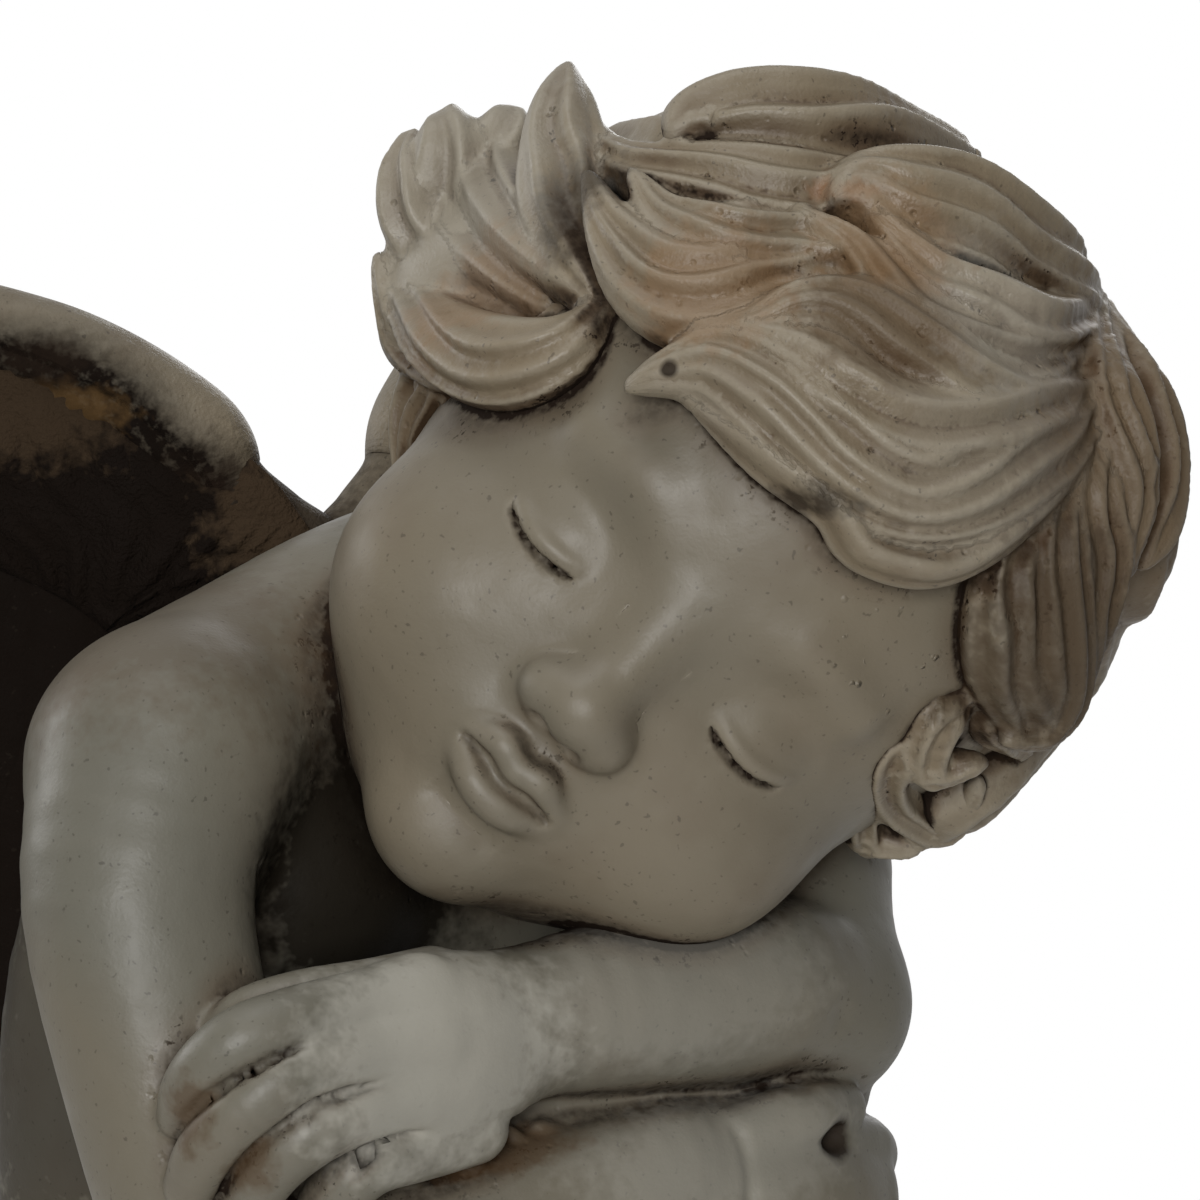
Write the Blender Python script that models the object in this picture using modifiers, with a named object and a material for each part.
"""A sleeping child angel, seated with crossed arms on drawn-up knees: one resin casting on a low base.

The figure faces -Y and its left side is +X. Tables hold millimetres; the finished mesh is in metres.
"""

import math

import bmesh
import bpy
import numpy as np
from mathutils import Euler, Matrix, Vector

MM = 0.001

# Driving dimensions, in millimetres.
BASE_TOP = 22.0
BASE_RADII = (58.0, 66.0)
SPINE_X = 6.0                      # the wings meet this far to the figure's left
HEAD_CENTRE = (29.0, -17.0, 186.0)
HEAD_TURN = (-35.0, 2.0, 47.0)     # degrees: turned, nodded, tilted on to the left arm
CRANIUM_CENTRE = (0.0, 4.0, 9.0)   # in the head's own frame
CRANIUM_RADII = (35.5, 39.0, 35.0)
ARM_RADIUS = 10.8
FOREARM_RADIUS = 9.2
FEATHER_THICKNESS = 3.0

VOXEL = 1.25
SMOOTHING_PASSES = 2
TRIANGLES = 9400

RESIN_COLOUR = (0.16, 0.145, 0.12, 1.0)


# ---------------------------------------------------------------- tools

def head_frame():
    """The head's place: its own X is its left, its own -Y the face, its own +Z the crown."""
    turn, nod, tilt = (math.radians(angle) for angle in HEAD_TURN)
    rotation = Matrix.Rotation(turn, 4, "Z") @ Matrix.Rotation(nod, 4, "X") @ Matrix.Rotation(tilt, 4, "Y")
    return Matrix.Translation(HEAD_CENTRE) @ rotation


def scalp(longitude, latitude, lift):
    """A point over the scalp: longitude 0 is the face, +90 the left ear; lift is measured outwards."""
    lon, lat = math.radians(longitude), math.radians(latitude)
    out = (math.cos(lat) * math.sin(lon), -math.cos(lat) * math.cos(lon), math.sin(lat))
    own = [centre + (radius + lift) * part
           for centre, radius, part in zip(CRANIUM_CENTRE, CRANIUM_RADII, out)]
    return head_frame() @ Vector(own)


def sample(stations, t):
    """Rows of numbers read along a smooth curve through the stations, for t from 0 to 1."""
    rows = np.asarray(stations, float)
    rows = np.vstack([2 * rows[0] - rows[1], rows, 2 * rows[-1] - rows[-2]])
    place = np.clip(t, 0, 1) * (len(rows) - 3)
    index = np.minimum(place.astype(int), len(rows) - 4)
    f = (place - index)[:, None]
    a, b, c, d = (rows[index + k] for k in range(4))
    return 0.5 * (2 * b + (c - a) * f + (2 * a - 5 * b + 4 * c - d) * f**2 + (3 * b - a - 3 * c + d) * f**3)


def swept(bm, stations, outward, segments=12, rings=14, cap=0.12):
    """A closed body along stations of (x, y, z, half width, half thickness), thickness facing outward.

    outward is a direction, or a function of the path's points that gives one for each.
    """
    made = bmesh.ops.create_uvsphere(bm, u_segments=segments, v_segments=rings, radius=1.0)["verts"]
    sphere = np.array([vert.co for vert in made])
    t = np.arccos(np.clip(-sphere[:, 2], -1, 1)) / math.pi
    angle = np.arctan2(sphere[:, 1], sphere[:, 0])
    along = sample(stations, t)
    step = 0.01
    tangent = sample(stations, t + step)[:, :3] - sample(stations, t - step)[:, :3]
    tangent /= np.linalg.norm(tangent, axis=1)[:, None]
    out = outward(along[:, :3]) if callable(outward) else np.tile(np.asarray(outward, float), (len(t), 1))
    out = out - np.sum(out * tangent, axis=1)[:, None] * tangent
    out /= np.linalg.norm(out, axis=1)[:, None]
    side = np.cross(tangent, out)
    near_end = np.minimum(t, 1 - t) / cap
    rounded = np.sqrt(np.clip(1 - (1 - np.minimum(near_end, 1)) ** 2, 0, 1))
    offset = (side * (np.cos(angle) * along[:, 3])[:, None] + out * (np.sin(angle) * along[:, 4])[:, None])
    for vert, place in zip(made, along[:, :3] + offset * rounded[:, None]):
        vert.co = place


def limb(bm, stations, segments=14, rings=18):
    """A round limb through stations of (x, y, z, radius), with a ball at each end."""
    swept(bm, [(x, y, z, r, r) for x, y, z, r in stations], (0.3, -0.2, 0.9), segments, rings, cap=0.05)
    for x, y, z, radius in (stations[0], stations[-1]):
        mass(bm, (x, y, z), (radius,) * 3)


def mass(bm, centre, radii, turn=(0, 0, 0), within=Matrix.Identity(4), segments=20):
    """An ellipsoid of flesh or cloth; turn is in degrees."""
    rotation = Euler([math.radians(angle) for angle in turn]).to_matrix().to_4x4()
    place = within @ Matrix.Translation(centre) @ rotation @ Matrix.Diagonal((*radii, 1.0))
    bmesh.ops.create_uvsphere(bm, u_segments=segments, v_segments=segments * 2 // 3, radius=1.0, matrix=place)


def mirror_x(point):
    """The same place on the other side of the spine."""
    return (2 * SPINE_X - point[0], *point[1:])


# ---------------------------------------------------------------- the figure

def add_trunk(bm):
    """Pelvis to collar in one sweep, leaning forward; then the shoulders and the neck."""
    swept(bm, [(0, 30, 30, 34, 29), (1, 27, 62, 32, 27), (2, 19, 92, 29, 24), (4, 13, 120, 29, 22),
               (5, 11, 146, 31, 20), (6, 9, 172, 22, 15)], (0, -1, 0), segments=24, rings=24, cap=0.1)
    limb(bm, [(-28, -2, 166, 13), (-8, 8, 168, 14), (20, 10, 167, 14), (40, 6, 163, 12.5)])
    limb(bm, [(-24, -3, 170, 12), (-9, 4, 174, 12), (6, 8, 177, 13)])
    limb(bm, [(2, 10, 168, 16), (12, 2, 173, 17), (24, -8, 178, 17)])
    mass(bm, (28, -4, 154), (15, 13, 15))
    for side in (-1, 1):
        limb(bm, [(6 + side * 25, 21, 156, 9), (6 + side * 26.5, 26, 138, 11.5), (6 + side * 26, 28, 115, 13),
                  (6 + side * 22, 30, 92, 15)])


def add_arms(bm):
    limb(bm, [(-30, -8, 168, 13), (-35, -13, 155, 11.6), (-34, -19, 137, ARM_RADIUS), (-31, -24, 117, 9.8)])
    limb(bm, [(41, 6, 165, 12.5), (45, -6, 155, 11.3), (41.5, -15, 145, 10.5), (39.5, -21, 137.5, 10.6)])
    limb(bm, [(39.5, -21, 138.5, 10.4), (28, -26, 141.5, 10), (12, -29, 142.5, FOREARM_RADIUS), (-1, -30, 142, 7.4)])
    limb(bm, [(-31, -24, 117, 9.6), (-10, -29, 121, 9.2), (12, -31, 124.5, 8), (18, -31, 124.5, 7.4)])
    limb(bm, [(-8, -20, 130, 9), (12, -22, 132, 9), (32, -20, 131, 9)])


def add_left_hand(bm):
    """The left hand lies over the right upper arm, its fingers spread down and outwards."""
    swept(bm, [(1, -30, 142, 7, 6), (-8, -33, 142, 9, 6), (-16, -34, 141, 10, 5.5), (-21, -34, 140, 9, 4)],
          (-0.4, -0.9, 0.15), rings=12)
    mass(bm, (-14, -35.4, 142.5), (8, 4.6, 8), segments=12)
    fingers = (
        [(-11, -30, 147.4, 3.8), (-18, -30.6, 147.4, 3.4), (-25.5, -30.8, 147.6, 3.0), (-32.8, -28, 145, 2.4)],
        [(-15, -34, 147.5, 4.0), (-23, -35.5, 147.3, 3.6), (-32, -37, 146.8, 3.5), (-37.4, -34.8, 143.6, 3.1),
         (-38, -29.4, 137.4, 2.5)],
        [(-15, -36, 143, 4.2), (-23, -37.2, 143.3, 3.9), (-31, -38.6, 142.4, 3.6), (-36.6, -36.4, 137.6, 3.2),
         (-38, -31, 130.6, 2.6)],
        [(-12, -35.5, 138, 4.2), (-20, -37.2, 138, 3.9), (-28, -38.6, 137, 3.6), (-31.8, -36.2, 133, 3.2),
         (-32.8, -31, 126.6, 2.6)],
        [(-9, -34.5, 133.5, 3.8), (-15, -35.4, 132.8, 3.6), (-21.6, -36.8, 132, 3.4), (-24.6, -34.2, 128, 3.0),
         (-25, -32.2, 124.8, 2.6)],
    )
    for finger in fingers:
        limb(bm, finger, segments=10, rings=10)


def add_right_hand(bm):
    """The right hand shows beyond the left elbow, its fingers curling over the left knee."""
    swept(bm, [(16, -31, 124.5, 7, 6.5), (24, -31.5, 124, 9, 6), (33, -30, 123, 10, 5.5), (40, -27, 121, 9, 5)],
          (0, -0.75, 0.65), rings=12)
    for k in range(4):
        drop = 5.0 * k
        limb(bm, [(36 - k, -30 - 0.8 * k, 125 - drop, 3.8), (43 - k, -26 - k, 122 - drop, 3.8),
                  (44.5 - k, -20 - k, 117 - drop, 3.5)], segments=10, rings=8)
    limb(bm, [(27, -30, 128, 3.6), (36, -27, 129.5, 3.5), (42, -23, 128, 3.2)], segments=10, rings=8)


def add_legs(bm):
    """Chubby legs drawn up, the feet side by side on the base."""
    foot = BASE_TOP
    for side, hip, knee, ankle, toe in ((-1, (-14, 26, 50), (-15, -26, 102), (-14, -37, foot + 12), (-17, -57)),
                                        (1, (16, 26, 50), (20, -26, 102), (18, -37, foot + 12), (22, -57))):
        limb(bm, [(*hip, 20), (hip[0] * 0.6 + knee[0] * 0.4, 4, 76, 19), (knee[0], -16, 95, 15), (*knee, 13.5)])
        calf = ((knee[0] + ankle[0]) / 2, (knee[1] + ankle[1]) / 2 + 4, 72)
        limb(bm, [(*knee, 13), (*calf, 13.4), (ankle[0], ankle[1] + 1, foot + 25, 9.2), (*ankle, 8.8)])
        heel = (ankle[0], ankle[1] + 5, foot + 7.5)
        middle = ((heel[0] + toe[0]) / 2, (heel[1] + toe[1]) / 2, foot + 7)
        swept(bm, [(*heel, 8, 8), (*middle, 8.5, 7), (toe[0], toe[1] + 4, foot + 4.5, 9.5, 5)], (0, 0, 1))
        for k in range(5):
            radius = 4.2 - 0.4 * k
            mass(bm, (toe[0] - side * (6.2 - 3.5 * k), toe[1] + 0.9 * k, foot + 4), (radius, radius * 1.5, radius),
                 segments=10)


def add_head(bm):
    """A generic sleeping child's head; the neck joins it from behind and below."""
    place = head_frame()
    mass(bm, CRANIUM_CENTRE, CRANIUM_RADII, within=place, segments=28)
    mass(bm, (0, -9, -13), (29, 25, 27), within=place)
    mass(bm, (0, -18, -29), (15, 14, 12), within=place)
    mass(bm, (0, -27, -34.5), (8, 6.5, 6.5), within=place)
    mass(bm, (0, -32.5, -24.5), (8.5, 4, 4), within=place)
    mass(bm, (0, -36.5, -14), (3.6, 4.2, 3.4), within=place)
    mass(bm, (0, -33.5, -7), (2.8, 4, 9), turn=(-12, 0, 0), within=place)
    for side in (-1, 1):
        mass(bm, (side * 15, -18, -18), (13, 13, 13), within=place)
        mass(bm, (side * 12, -28.5, -4), (6.5, 4.5, 4), within=place)
        mass(bm, (side * 3.4, -34.5, -14.5), (2.6, 3, 2.4), within=place)


def hair_out(points):
    """Directions away from the middle of the head."""
    return points - np.array(head_frame() @ Vector(CRANIUM_CENTRE))


# Each lock runs root to tip: (longitude, latitude, lift, half width, half thickness) along the scalp.
FLAME_LOCKS = (
    [(-50, 8, 2, 2.3, 2), (-57, 9, 6, 3.7, 3), (-66, 10, 10, 4.6, 4), (-72, 13, 12.6, 4.6, 4),
     (-77, 16, 15, 3.4, 3), (-83, 18, 16, 1, 1.6)],
    [(-52, 6, 2, 2.3, 2), (-60, 5, 6, 3.2, 3), (-75, 3, 9.6, 4.4, 4), (-88, 3, 12.8, 4.6, 4),
     (-90, 6.5, 15.6, 3.4, 3), (-90, 10, 16.5, 1.3, 1.8)],
    [(-60, 0, 2, 2.3, 2), (-72, -3, 6, 3.2, 3), (-88, -5, 12.6, 4.6, 4), (-88, -2, 16.2, 4.6, 4),
     (-88, 1.5, 18.8, 3.4, 3), (-89, 4.5, 19.4, 1.4, 1.8)],
    [(-69, -8, 2, 2.3, 2), (-87, -11, 9.4, 3.9, 4), (-87, -9, 15, 4.1, 4), (-87, -6, 17.6, 3.4, 3.4),
     (-88, -2, 18, 1.6, 2)],
    [(-49, 6, 2, 1.8, 2), (-46, -3, 6, 3.7, 4), (-52, -11, 8, 4.8, 5), (-67, -17, 9, 4.4, 5),
     (-86, -18, 11, 2.8, 4), (-86, -15, 13, 0.7, 1)],
    [(-60, -16, 2, 2.3, 2), (-70, -22, 5, 3, 4), (-85, -24, 9, 2.8, 4), (-85, -20, 12, 1.8, 3),
     (-86, -16, 14, 0.7, 1)],
    [(-66, -18, 2, 2.3, 2), (-76, -29, 4, 3.4, 3), (-81, -38, 5, 2.8, 3), (-78, -48, 4, 0.9, 1)],
    [(-84, -20, 2, 2.3, 2), (-90, -30, 6, 3.4, 3), (-90, -40, 6, 2.8, 3), (-84, -52, 4, 0.9, 1)],
)
CROWN_LOCKS = (
    [(-20, 45, 3, 3.9, 3), (-29, 39, 5, 4.7, 4), (-32, 28, 6, 5.5, 4.5), (-35, 20, 8, 5.7, 5),
     (-42, 15, 9, 4.9, 4.5), (-51, 14, 10, 2.9, 3), (-60, 15, 11, 0.8, 1)],
    [(-22, 47, 4, 3.1, 3), (-30, 40, 6, 4.2, 4), (-37, 34, 7, 4.7, 4.5), (-42, 26, 9, 4.2, 4.5),
     (-49, 21, 9, 2.9, 3), (-57, 20, 10, 0.8, 1)],
    [(-54, 59, 4, 3.9, 3), (-47, 51, 6, 4.7, 4), (-48, 40, 8, 5.5, 4.5), (-53, 32, 9, 4.9, 4.5),
     (-59, 25, 9, 4.2, 4), (-68, 20, 9, 2.3, 3), (-81, 18, 9, 0.8, 1)],
    [(-102, 71, 8, 3.1, 3), (-66, 57, 10.5, 4.9, 4), (-63, 46, 12.5, 5.7, 5), (-65, 38, 13, 5.2, 5),
     (-66, 32, 12.5, 3.6, 4), (-63, 28, 11, 1, 1.5)],
    [(99, 77, 5, 3.9, 3), (20, 78, 7.5, 6, 4), (-25, 66, 9.5, 7.3, 5), (-34, 56, 10, 7, 5),
     (-41, 49, 9.5, 4.4, 4), (-40, 44, 8, 1, 1.5)],
    [(80, 78, 5, 2.6, 3), (12, 60, 8.5, 3.6, 4), (-3, 53, 9, 3.9, 4), (-14, 50, 8, 3.4, 4),
     (-23, 48, 8, 2.3, 3), (-34, 47, 7, 0.8, 1)],
    [(58, 73, 4, 2.6, 3), (15, 54, 7, 3.6, 4), (2, 46, 8, 4.2, 4), (-10, 42, 8, 3.9, 4),
     (-21, 42, 8, 3.1, 4), (-30, 41, 8, 2.1, 3), (-39, 38, 7, 0.8, 1)],
)
BROW_LOCKS = (
    [(43, 63, 4, 2.4, 3), (20, 48, 7, 4.1, 4), (6, 40, 9, 5, 4.5), (-6, 37, 9, 5.3, 4.5),
     (-16, 34, 9, 5, 4.5), (-22, 29, 9, 3.8, 4), (-25, 22, 8, 2.2, 3), (-29, 16, 7, 0.7, 1)],
    [(36, 58, 5, 2.4, 3), (21, 48, 8, 3.6, 4), (12, 37, 10, 4.3, 4), (5, 31, 10, 4.3, 4),
     (-2, 27, 10, 4.3, 4), (-10, 25, 10, 4.1, 4), (-18, 24, 9, 3.1, 3), (-25, 20, 8, 1, 1)],
    [(43, 64, 4, 2.4, 3), (28, 48, 7, 4.8, 4), (20, 38, 9, 5.8, 4.5), (14, 29, 10, 5.8, 4.5),
     (8, 23, 10, 5.5, 4.5), (0, 20, 10, 5.5, 4.5), (-8, 19, 9, 5.5, 4.5), (-16, 18, 9, 5.3, 4.5),
     (-24, 15, 8, 4.1, 4), (-28, 9, 7, 2.4, 3), (-30, 3, 6, 0.7, 1)],
    [(40, 58, 4, 1.9, 3), (32, 43, 6, 2.9, 4), (25, 30, 8, 2.9, 4), (21, 21, 8, 2.6, 4),
     (16, 16, 8, 2.6, 4), (9, 13, 8, 2.5, 4), (2, 14, 8, 2.5, 4), (-9, 12, 7, 2.5, 4), (-22, 9, 5, 1, 2)],
)
EAR_LOCKS = (
    [(100, 79, 6, 2.5, 3), (41, 62, 8, 3.8, 4), (45, 53, 9.6, 4, 4.5), (51, 45, 9.4, 3.5, 4),
     (54, 36, 8, 1, 1.5)],
    [(98, 77, 6, 2.5, 3), (64, 64, 9, 3.8, 4), (66, 54, 10, 3.8, 4.5), (64, 44, 9.6, 3, 4),
     (61, 38, 8, 1, 1.5)],
    [(39, 57, 4, 2.5, 3), (41, 44, 7, 4, 4), (49, 36, 8, 4.2, 4.5), (53, 28, 8, 3.5, 4),
     (59, 20, 7, 1, 1.5)],
    [(32, 34, 3, 2.5, 3), (35, 23, 6, 3.8, 4), (44, 14, 6, 3.5, 4), (60, 7, 5, 1.2, 2)],
    [(35, 44, 4, 2.5, 3), (39, 32, 7, 4, 4), (49, 22, 8, 4, 4), (58, 16, 8, 3, 4), (61, 10, 7, 2, 3),
     (55, 6, 6, 1, 1.5)],
    [(34, 38, 3, 2.5, 3), (40, 25, 6, 3.8, 4), (50, 16, 7, 3.5, 4), (63, 11, 6, 1.2, 2)],
    [(53, 9, 1, 2.5, 2), (59, 5, 3, 2.2, 2.5), (75, 4, 4, 1.2, 1.5)],
    [(50, 9, 0, 2.5, 2), (46, 1, 3, 3, 3), (53, -6, 4, 2.2, 3), (56, 0, 5, 1, 1.5)],
    [(49, -1, 0, 2.5, 2), (49, -10, 2, 3.2, 3), (66, -17, 3, 2.5, 3), (77, -14, 6, 1.8, 2),
     (68, -4, 4, 1, 1.5)],
    [(50, -12, 0, 2.5, 2), (58, -21, 1, 2.8, 3), (75, -26, 4, 2.2, 3), (76, -20, 6, 1.2, 1.5)],
)


def add_lock(bm, lock):
    """Each lift is that of the lock's surface, so its middle lies lower."""
    stations = [(*scalp(lon, lat, lift - thick), width, thick) for lon, lat, lift, width, thick in lock]
    swept(bm, stations, hair_out, segments=10, rings=16, cap=0.06)


def add_hair(bm):
    """A cap of hair under named locks at the front, and rows of falling locks behind."""
    x, y, z = CRANIUM_CENTRE
    a, b, c = CRANIUM_RADII
    mass(bm, (x - 0.5, y + 5, z + 2.5), (a + 2, b, c + 2.5), within=head_frame())
    mass(bm, (-37, 3, 4), (9, 10, 15), within=head_frame())
    for lock in FLAME_LOCKS + CROWN_LOCKS + BROW_LOCKS + EAR_LOCKS:
        add_lock(bm, lock)
    for row, (top, fall, count) in enumerate(((74, 44, 9), (48, 42, 10), (20, 40, 10))):
        for k in range(count):
            lon = 80 + (k + 0.5 * (row % 2)) * 185 / count
            sway = 9 * (-1) ** (k + row)
            flat = 4.5 * max(0.0, 1 - abs(lon - 105) / 45) * (row > 0)
            add_lock(bm, [(lon, top, 2 - flat, 4, 3), (lon + sway * 0.6, top - 0.2 * fall, 6 - flat, 5.5, 4),
                          (lon + sway, top - 0.4 * fall, 7 - flat, 5.5, 4.5),
                          (lon - sway * 0.3, top - 0.7 * fall, 8 - flat, 4.6, 4.5),
                          (lon + sway * 0.2, top - 0.9 * fall, 7 - flat, 2.8, 3.5),
                          (lon + sway * 1.2, top - fall, 6 - flat, 0.8, 1.5)])


# ---------------------------------------------------------------- wings

WING_EDGE = ((12, 20, 165, 6), (6, 25, 179.5, 5.5), (-0.6, 27.5, 186, 5), (-5.4, 29, 190.5, 5.2), (-9, 31, 197, 6),
             (-22, 40, 206, 5.5), (-42, 53, 210, 5), (-60, 65, 202, 4.5), (-71, 73, 180, 3.5))
WING_FACING = (-0.53, -0.85, 0.0)


def feather(bm, root, heading, length, width, bend, flip):
    """One long feather, its tip bending backwards."""
    facing, heading = Vector(WING_FACING), Vector(heading).normalized()
    stations = []
    for t, part in ((0.0, 0.6), (0.35, 1.0), (0.75, 0.9), (1.0, 0.35)):
        point = Vector(root) + heading * length * t - facing * bend * t * t
        stations.append((*point, width * part, FEATHER_THICKNESS / 2 * (1.2 - 0.4 * t)))
    if flip:
        stations = [mirror_x(station) for station in stations]
        facing = Vector((-facing.x, facing.y, facing.z))
    swept(bm, stations, tuple(facing), segments=10, rings=12, cap=0.08)


def add_wing(bm, flip):
    edge = [mirror_x(station) if flip else station for station in WING_EDGE]
    limb(bm, edge, segments=12, rings=30)
    rows = ((11, 88.0, 7.4, -1.6, 0.16, 0.82), (9, 56.0, 7.2, 0.6, 0.42, 0.56), (8, 32.0, 7.0, 2.4, 0.50, 0.48))
    for count, length, width, forward, start, span in rows:
        for k in range(count):
            u = (k + 0.5) / count
            root = sample(WING_EDGE, np.array([start + span * u]))[0]
            outward = -0.05 - 0.55 * u * u
            heading = (outward * 0.85, -outward * 0.53, -1.0)
            reach = length * (0.72 + 0.45 * math.sin(math.pi * (0.15 + 0.6 * u)))
            place = Vector(root[:3]) + Vector(WING_FACING) * forward * (0.8 + 0.2 * (k % 2))
            feather(bm, place, heading, reach, width, 4.0, flip)


def add_right_wing(bm):
    add_wing(bm, flip=False)


def add_left_wing(bm):
    add_wing(bm, flip=True)


# ---------------------------------------------------------------- drapery and base

def add_drapery(bm):
    """Cloth round the hips, over the thighs and down to the base, leaving the shins bare."""
    mass(bm, (2, -2, 56), (27, 25, 40), turn=(14, 0, 0))
    mass(bm, (3, -4, 100), (26, 20, 25))
    for side in (-1, 1):
        limb(bm, [(2 + side * 16, 24, 52, 22), (2 + side * 18, 4, 78, 21), (2 + side * 17.5, -12, 93, 17.5)])
        mass(bm, (2 + side * 31, 7, 50), (13, 31, 46), turn=(10, 0, 0))
        for k in range(4):
            back = 10 * k
            limb(bm, [(2 + side * 8, -9 + back, 107 - 9 * k, 3.0), (2 + side * 26, -10 + back, 103 - 9 * k, 3.6),
                      (2 + side * 37, -8 + back, 84 - 6 * k, 4.4), (2 + side * 41, -6 + back, 60 - 3 * k, 4.8),
                      (2 + side * 43, -5 + back, 38, 5.2), (2 + side * 42, -4 + back, 22, 5.6)],
                 segments=8, rings=16)
    skirt = bmesh.ops.create_cone(bm, cap_ends=True, segments=120, radius1=1.0, radius2=1.0, depth=1.0)["verts"]
    wall = [edge for edge in {e for vert in skirt for e in vert.link_edges}
            if abs(edge.verts[0].co.z - edge.verts[1].co.z) > 0.5]
    bmesh.ops.subdivide_edges(bm, edges=wall, cuts=12)
    rim = [vert for vert in bm.verts if -0.51 < vert.co.z < 0.51 and abs(vert.co.xy.length - 1) < 0.01]
    for vert in rim:
        angle, height = math.atan2(vert.co.x, vert.co.y), vert.co.z + 0.5
        pleat = abs(math.sin(7.5 * angle + 1.1 * math.sin(2 * angle) + 0.9 * height)) ** 0.7
        spread = 1 - 0.36 * height**2.2 + (pleat - 0.6) * 0.13 * (1 - 0.75 * height)
        deep = 38 if vert.co.y > 0 else 32
        vert.co = Vector((2 + 45 * spread * math.sin(angle), 20 + deep * spread * math.cos(angle),
                          BASE_TOP - 2 + 54 * height))


def add_base(bm):
    """A low oval of ground with a rounded, slightly uneven rim."""
    bottom = -2.0
    place = Matrix.Translation((0, 0, (BASE_TOP + bottom) / 2))
    place @= Matrix.Diagonal((*BASE_RADII, BASE_TOP - bottom, 1.0))
    rim = bmesh.ops.create_cone(bm, cap_ends=True, segments=72, radius1=1.0, radius2=0.93, depth=1.0,
                                matrix=place)["verts"]
    for vert in rim:
        angle = math.atan2(vert.co.y, vert.co.x)
        grow = 1 + 0.02 * math.sin(3 * angle + 0.6) + 0.012 * math.sin(7 * angle)
        vert.co.xy *= grow


# ---------------------------------------------------------------- one casting

def resin():
    material = bpy.data.materials.new("cast_resin")
    material.use_nodes = True
    shader = material.node_tree.nodes["Principled BSDF"]
    shader.inputs["Base Color"].default_value = RESIN_COLOUR
    shader.inputs["Roughness"].default_value = 0.5
    shader.inputs["Metallic"].default_value = 0.0
    return material


def evaluated_copy(source, name):
    """The object as its modifiers leave it, as a new mesh."""
    graph = bpy.context.evaluated_depsgraph_get()
    mesh = bpy.data.meshes.new_from_object(source.evaluated_get(graph), depsgraph=graph)
    mesh.name = name
    return mesh


def keep_outer_skin(mesh):
    """Drops the skins of any hollows that the overlapping shapes closed in between them."""
    bm = bmesh.new()
    bm.from_mesh(mesh)
    bm.verts.index_update()
    seen, islands = set(), []
    for start in bm.verts:
        if start in seen:
            continue
        island, front = [], [start]
        seen.add(start)
        while front:
            vert = front.pop()
            island.append(vert)
            for edge in vert.link_edges:
                other = edge.other_vert(vert)
                if other not in seen:
                    seen.add(other)
                    front.append(other)
        islands.append(island)
    islands.sort(key=len)
    for island in islands[:-1]:
        bmesh.ops.delete(bm, geom=island, context="VERTS")
    bm.to_mesh(mesh)
    bm.free()


def cast_figure(collection, helpers):
    """Every shape in one skin: rough shapes, one voxel skin, smoothed, thinned and cut flat below."""
    rough_mesh = bpy.data.meshes.new("rough_shapes")
    whole = bmesh.new()
    for add in (add_trunk, add_arms, add_left_hand, add_right_hand, add_legs, add_head, add_hair,
                add_drapery, add_base, add_right_wing, add_left_wing):
        bm = bmesh.new()
        add(bm)
        bm.to_mesh(rough_mesh)
        bm.free()
        whole.from_mesh(rough_mesh)
    bmesh.ops.scale(whole, vec=(MM, MM, MM), verts=whole.verts)
    whole.to_mesh(rough_mesh)
    whole.free()
    rough = bpy.data.objects.new("rough_shapes", rough_mesh)
    helpers.objects.link(rough)
    skin = rough.modifiers.new("one_skin", "REMESH")
    skin.mode = "VOXEL"
    skin.voxel_size = VOXEL * MM
    bpy.context.view_layer.update()
    mesh = evaluated_copy(rough, "angel_statue")
    bpy.data.objects.remove(rough)
    keep_outer_skin(mesh)

    statue = bpy.data.objects.new("angel_statue", mesh)
    collection.objects.link(statue)
    statue.data.materials.clear()
    statue.data.materials.append(resin())
    soften = statue.modifiers.new("soften", "SMOOTH")
    soften.factor = 0.5
    soften.iterations = SMOOTHING_PASSES
    faces = 2 * len(mesh.polygons)
    thin = statue.modifiers.new("thin", "DECIMATE")
    thin.ratio = TRIANGLES / faces

    floor_mesh = bpy.data.meshes.new("below_ground")
    bm = bmesh.new()
    depth = 20 * MM
    place = Matrix.Translation((0, 0, -depth / 2)) @ Matrix.Diagonal((0.3, 0.3, depth, 1.0))
    bmesh.ops.create_cube(bm, size=1.0, matrix=place)
    bm.to_mesh(floor_mesh)
    bm.free()
    floor = bpy.data.objects.new("below_ground", floor_mesh)
    floor.hide_render = True
    floor.display_type = "WIRE"
    helpers.objects.link(floor)
    flatten = statue.modifiers.new("flat_underside", "BOOLEAN")
    flatten.operation = "DIFFERENCE"
    flatten.object = floor
    return statue


def main():
    for obj in list(bpy.data.objects):
        bpy.data.objects.remove(obj)
    parts = bpy.data.collections.new("angel_statue_parts")
    helpers = bpy.data.collections.new("helpers")
    for collection in (parts, helpers):
        bpy.context.scene.collection.children.link(collection)
    cast_figure(parts, helpers)


main()
